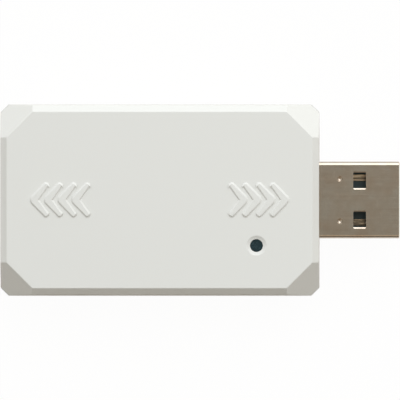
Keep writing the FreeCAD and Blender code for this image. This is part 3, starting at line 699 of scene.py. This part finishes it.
def chevron_tree():
    """Geometry Nodes for both groups of chevrons: one soft-edged relief, instanced along two lines."""
    tree = bpy.data.node_groups.new("raised chevrons", "GeometryNodeTree")
    lengths = {name: "Float" for name in CHEVRON_LENGTHS}
    new_sockets(tree, "INPUT", {"Count": "Int", **lengths, "Material": "Material"})
    new_sockets(tree, "OUTPUT", {"Geometry": "Geometry"})
    sheet = Sheet(tree)
    given = sheet.add("NodeGroupInput").outputs
    both = in_two_groups(sheet, given, chevron_relief(sheet, given))
    real = sheet.add("GeometryNodeRealizeInstances", {"Geometry": both}).outputs[0]
    done = sheet.add("GeometryNodeSetMaterial", {"Geometry": real, "Material": given["Material"]}).outputs[0]
    sheet.feed(sheet.add("NodeGroupOutput").inputs["Geometry"], done)
    return tree


def mesh_from_tree(name, tree, values):
    """The plain mesh that a Geometry Nodes tree makes, with its faces turned outwards."""
    carrier = bpy.data.objects.new(name + "_carrier", bpy.data.meshes.new(name + "_carrier"))
    bpy.context.scene.collection.objects.link(carrier)
    modifier = carrier.modifiers.new(tree.name, "NODES")
    modifier.node_group = tree
    for item in tree.interface.items_tree:
        if item.item_type == "SOCKET" and item.in_out == "INPUT":
            modifier[item.identifier] = values[item.name]
    evaluated = carrier.evaluated_get(bpy.context.evaluated_depsgraph_get())
    mesh = bpy.data.meshes.new_from_object(evaluated)
    mesh.name = name
    bpy.data.objects.remove(carrier)
    if not mesh.polygons:
        raise RuntimeError(f"{tree.name} made no faces")
    shape = bmesh.new()
    shape.from_mesh(mesh)
    bmesh.ops.recalc_face_normals(shape, faces=shape.faces)
    shape.to_mesh(mesh)
    shape.free()
    return mesh


def housing_material(housing):
    return bpy.data.materials.get("housing") or moulded_plastic(
        "housing", housing.colour, housing.roughness, housing.grain_size, housing.grain_depth,
        housing.edge_radius)


# Operators

class MODULE_OT_covers(Operator):
    """Dress the two moulded covers"""
    bl_idname = "boiler_module.covers"
    bl_label = "Covers"

    def execute(self, context):
        settings = context.scene.boiler_module
        material = housing_material(settings.housing)
        level = chevron_remover(settings.chevrons)
        dressed_node("top_cover", "top_cover_moulded", material, level)
        dressed_node("bottom_cover", "bottom_cover_moulded", material)
        return {"FINISHED"}


class MODULE_OT_chevrons(Operator):
    """Raise the chevrons on the top face"""
    bl_idname = "boiler_module.chevrons"
    bl_label = "Chevrons"

    def execute(self, context):
        settings = context.scene.boiler_module
        sizes = settings.chevrons
        material = housing_material(settings.housing)
        values = {field.replace("_", " ").title(): getattr(sizes, field) for field in sizes.__annotations__}
        values["Face Height"] = top_face_height(sizes)
        values["Material"] = material
        mesh = mesh_from_tree("raised_chevrons", chevron_tree(), values)
        smooth_rounds(link_piece("raised_chevrons", mesh, material))
        return {"FINISHED"}


class MODULE_OT_light_guide(Operator):
    """Dress the smoked light guide"""
    bl_idname = "boiler_module.light_guide"
    bl_label = "Light Guide"

    def execute(self, context):
        guide = context.scene.boiler_module.guide
        material = smoked_plastic("smoked_guide", guide.colour, guide.roughness)
        dressed_node("light_guide", "light_guide_smoked", material)
        return {"FINISHED"}


class MODULE_OT_plug(Operator):
    """Dress the plug: its folded shell, its insulator and its four contacts"""
    bl_idname = "boiler_module.plug"
    bl_label = "Plug"

    def execute(self, context):
        plug = context.scene.boiler_module.plug
        steel = sheet_metal("plug_steel", plug.shell_colour, plug.shell_roughness, plug.line_length,
                            plug.line_width, line_depth=mm(0.0008), edge_radius=mm(0.06))
        black = moulded_plastic("plug_plastic", plug.insulator_colour, roughness=0.45, grain_size=mm(0.08),
                                grain_depth=mm(0.002), edge_radius=mm(0.05), cloud_size=mm(2))
        gold = sheet_metal("contact_metal", plug.contact_colour, roughness=0.28, line_length=mm(5),
                           line_width=mm(0.3), line_depth=mm(0.004), edge_radius=mm(0.04), streak=0.6,
                           contrast=6)
        dressed_node("usb_shell", "usb_shell_folded", steel, lip_slimmer(plug))
        dressed_node("usb_insulator", "usb_insulator_moulded", black)
        for contact in ("power", "data_minus", "data_plus", "ground"):
            node = f"usb_contact_{contact}"
            dressed_node(node, node + "_plated", gold)
        return {"FINISHED"}


class MODULE_OT_inside(Operator):
    """Give the boards and parts inside the housing their finishes"""
    bl_idname = "boiler_module.inside"
    bl_label = "Boards and Parts"

    def execute(self, context):
        finished = {}
        for part in frame["record"]["subparts"]:
            node = frame["nodes"][part["node"]]
            slot = part["material_slot"]
            dressed_already = node.hide_render
            if dressed_already:
                continue
            if slot not in finished:
                finished[slot] = inner_material(slot)
            node.data.materials.clear()
            node.data.materials.append(finished[slot])
        return {"FINISHED"}


class MODULE_OT_stage(Operator):
    """Set the light table, the lamp, the room and the camera"""
    bl_idname = "boiler_module.stage"
    bl_label = "Stage"

    def execute(self, context):
        settings = context.scene.boiler_module
        make_table(settings.table)
        light_room(settings.room)
        hang_lamp(settings.lamp)
        place_camera(settings.camera)
        context.scene.view_settings.view_transform = "Standard"
        return {"FINISHED"}


# Stage

def seen_directly(sheet):
    """1 for what the camera sees, straight, in a gloss or through glass, and 0 for all other light."""
    path = sheet.add("ShaderNodeLightPath").outputs
    gloss = sheet.math("MAXIMUM", path["Is Glossy Ray"], path["Is Transmission Ray"])
    return sheet.math("MAXIMUM", path["Is Camera Ray"], gloss)


def stretch_in_front(sheet, table):
    """1 on the stretch of table right in front of the object, with soft edges, and 0 elsewhere."""
    place = sheet.add("ShaderNodeSeparateXYZ", {"Vector": object_coordinates(sheet)}).outputs
    ahead = sheet.ranged(place["Y"], -table.front_from, -table.front_from - table.front_blur)
    aside = sheet.math("ABSOLUTE", place["X"])
    beside = sheet.ranged(aside, table.front_half + table.front_blur, table.front_half)
    return sheet.math("MULTIPLY", ahead, beside)


def table_material(table):
    """White acrylic, lit from below and above, that lights the object less in front. Clear from below."""
    material = bpy.data.materials.new("light_table")
    material.use_nodes = True
    material.node_tree.nodes.clear()
    sheet = Sheet(material.node_tree)
    direct = seen_directly(sheet)
    dim = sheet.math("MULTIPLY", stretch_in_front(sheet, table), sheet.math("SUBTRACT", 1, direct))
    pale = sheet.mixed(dim, tinted(WHITE[:3], table.paleness), [*table.front, 1])
    own = sheet.mixed(dim, [*table.glow, 1], BLACK)
    lit = sheet.add("ShaderNodeBsdfDiffuse", {"Color": pale})
    glow = sheet.add("ShaderNodeEmission", {"Color": own, "Strength": 1})
    acrylic = sheet.add("ShaderNodeAddShader", {0: lit.outputs[0], 1: glow.outputs[0]})
    white = sheet.add("ShaderNodeEmission", {"Strength": 1})
    whiteness = sheet.math("MULTIPLY", direct, 1 - table.shadow)
    top = sheet.add("ShaderNodeMixShader", {0: whiteness, 1: acrylic.outputs[0], 2: white.outputs[0]})
    below = sheet.add("ShaderNodeNewGeometry").outputs["Backfacing"]
    clear = sheet.add("ShaderNodeBsdfTransparent")
    both = sheet.add("ShaderNodeMixShader", {0: below, 1: top.outputs[0], 2: clear.outputs[0]})
    sheet.add("ShaderNodeOutputMaterial", {"Surface": both.outputs[0]})
    return material


def make_table(table):
    """A white light table that shows a part of the object's shadow."""
    shape = bmesh.new()
    bmesh.ops.create_grid(shape, x_segments=1, y_segments=1, size=table.size / 2)
    mesh = bpy.data.meshes.new("light_table")
    shape.to_mesh(mesh)
    shape.free()
    mesh.transform(Matrix.Translation((0, 0, -TABLE_GAP)))
    mesh.materials.append(table_material(table))
    floor = bpy.data.objects.new("light_table", mesh)
    bpy.context.scene.collection.objects.link(floor)


def soft_light(sheet, direction, room):
    """The colour of the light from each direction: most from behind and above, and none from low in front."""
    level = room.sides
    for part, more in ((direction["Y"], room.behind), (direction["Z"], room.above)):
        level = sheet.vector("ADD", sheet.scaled(more, part), level)
    return sheet.vector("MAXIMUM", level, (0, 0, 0))


def ceiling_in_gloss(sheet, direction, towards_front, room):
    """What gloss shows: a white room whose ceiling is darker, most of all in front, but for a paler strip."""
    dark_from, dark_to = -0.3, -0.9
    strip_from, strip_to, strip_blur = -0.3, -0.72, 0.14
    front = sheet.ranged(towards_front, dark_from, dark_to)
    strip = sheet.math("MULTIPLY", sheet.ranged(towards_front, strip_from, strip_from - strip_blur),
                       sheet.ranged(towards_front, strip_to, strip_to + strip_blur))
    dimmed = sheet.mixed(front, [*room.ceiling, 1], [*room.ceiling_front, 1])
    dimmed = sheet.mixed(strip, dimmed, [*room.ceiling_strip, 1])
    middle = Vector((0, -math.sin(room.ceiling_lean), math.cos(room.ceiling_lean)))
    outside, inside = (math.cos(room.ceiling_reach + side * room.ceiling_blur) for side in (1, -1))
    ceiling = sheet.ranged(sheet.vector("DOT_PRODUCT", direction, middle), outside, inside)
    return sheet.mixed(ceiling, WHITE, dimmed)


def light_room(room):
    """A room that lights the object softly, most from behind, and that the camera sees as white."""
    world = bpy.data.worlds.new("room")
    bpy.context.scene.world = world
    world.use_nodes = True
    world.node_tree.nodes.clear()
    sheet = Sheet(world.node_tree)
    direction = sheet.add("ShaderNodeTexCoord").outputs["Generated"]
    parts = sheet.add("ShaderNodeSeparateXYZ", {"Vector": direction}).outputs
    colours = (soft_light(sheet, parts, room), ceiling_in_gloss(sheet, direction, parts["Y"], room), WHITE)
    soft, in_gloss, behind = (sheet.add("ShaderNodeBackground", {"Color": shade}).outputs[0]
                              for shade in colours)
    camera_ray = sheet.add("ShaderNodeLightPath").outputs["Is Camera Ray"]
    seen = sheet.add("ShaderNodeMixShader", {0: camera_ray, 1: in_gloss, 2: behind}).outputs[0]
    whole = sheet.add("ShaderNodeMixShader", {0: seen_directly(sheet), 1: soft, 2: seen}).outputs[0]
    sheet.add("ShaderNodeOutputWorld", {"Surface": whole})


def hang_lamp(settings):
    """One large round lamp, above and behind the object."""
    data = bpy.data.lights.new("soft_lamp", "AREA")
    data.shape = "DISK"
    data.size = settings.size
    data.energy = settings.power
    lamp = bpy.data.objects.new("soft_lamp", data)
    bpy.context.scene.collection.objects.link(lamp)
    flat = math.cos(settings.elevation)
    away = Vector((flat * math.cos(settings.azimuth), flat * math.sin(settings.azimuth),
                   math.sin(settings.elevation)))
    lamp.location = away * settings.distance
    lamp.rotation_euler = away.to_track_quat("Z", "Y").to_euler()


def place_camera(settings):
    """A camera straight above the module, with the plug to the right."""
    data = bpy.data.cameras.new("camera")
    data.lens = settings.focal_length
    data.clip_start = mm(10)
    camera = bpy.data.objects.new("camera", data)
    bpy.context.scene.collection.objects.link(camera)
    camera.location = (settings.ahead, 0, settings.height)
    bpy.context.scene.camera = camera


# Panel and registration

class MODULE_PT_sidebar(Panel):
    """Lists the module's pieces and settings"""
    bl_idname = "MODULE_PT_sidebar"
    bl_label = "Boiler Module"
    bl_space_type = "VIEW_3D"
    bl_region_type = "UI"
    bl_category = "Module"

    def draw(self, context):
        for operator in OPERATORS:
            self.layout.operator(operator.bl_idname)
        settings = context.scene.boiler_module
        for name in settings.bl_rna.properties.keys():
            group = getattr(settings, name)
            if isinstance(group, PropertyGroup):
                box = self.layout.box()
                box.label(text=name.title())
                for field in group.__annotations__:
                    box.prop(group, field)


SETTINGS = (HousingSettings, ChevronSettings, PlugSettings, GuideSettings, CameraSettings, RoomSettings,
            LampSettings, TableSettings, ModuleSettings)
OPERATORS = (MODULE_OT_covers, MODULE_OT_chevrons, MODULE_OT_light_guide, MODULE_OT_plug, MODULE_OT_inside,
             MODULE_OT_stage)


def register():
    for kind in SETTINGS + OPERATORS + (MODULE_PT_sidebar,):
        bpy.utils.register_class(kind)
    bpy.types.Scene.boiler_module = PointerProperty(type=ModuleSettings)


def unregister():
    del bpy.types.Scene.boiler_module
    for kind in reversed(SETTINGS + OPERATORS + (MODULE_PT_sidebar,)):
        bpy.utils.unregister_class(kind)


def main():
    register()
    bpy.ops.boiler_module.covers()
    bpy.ops.boiler_module.chevrons()
    bpy.ops.boiler_module.light_guide()
    bpy.ops.boiler_module.plug()
    bpy.ops.boiler_module.inside()
    bpy.ops.boiler_module.stage()


if __name__ == "__main__":
    main()
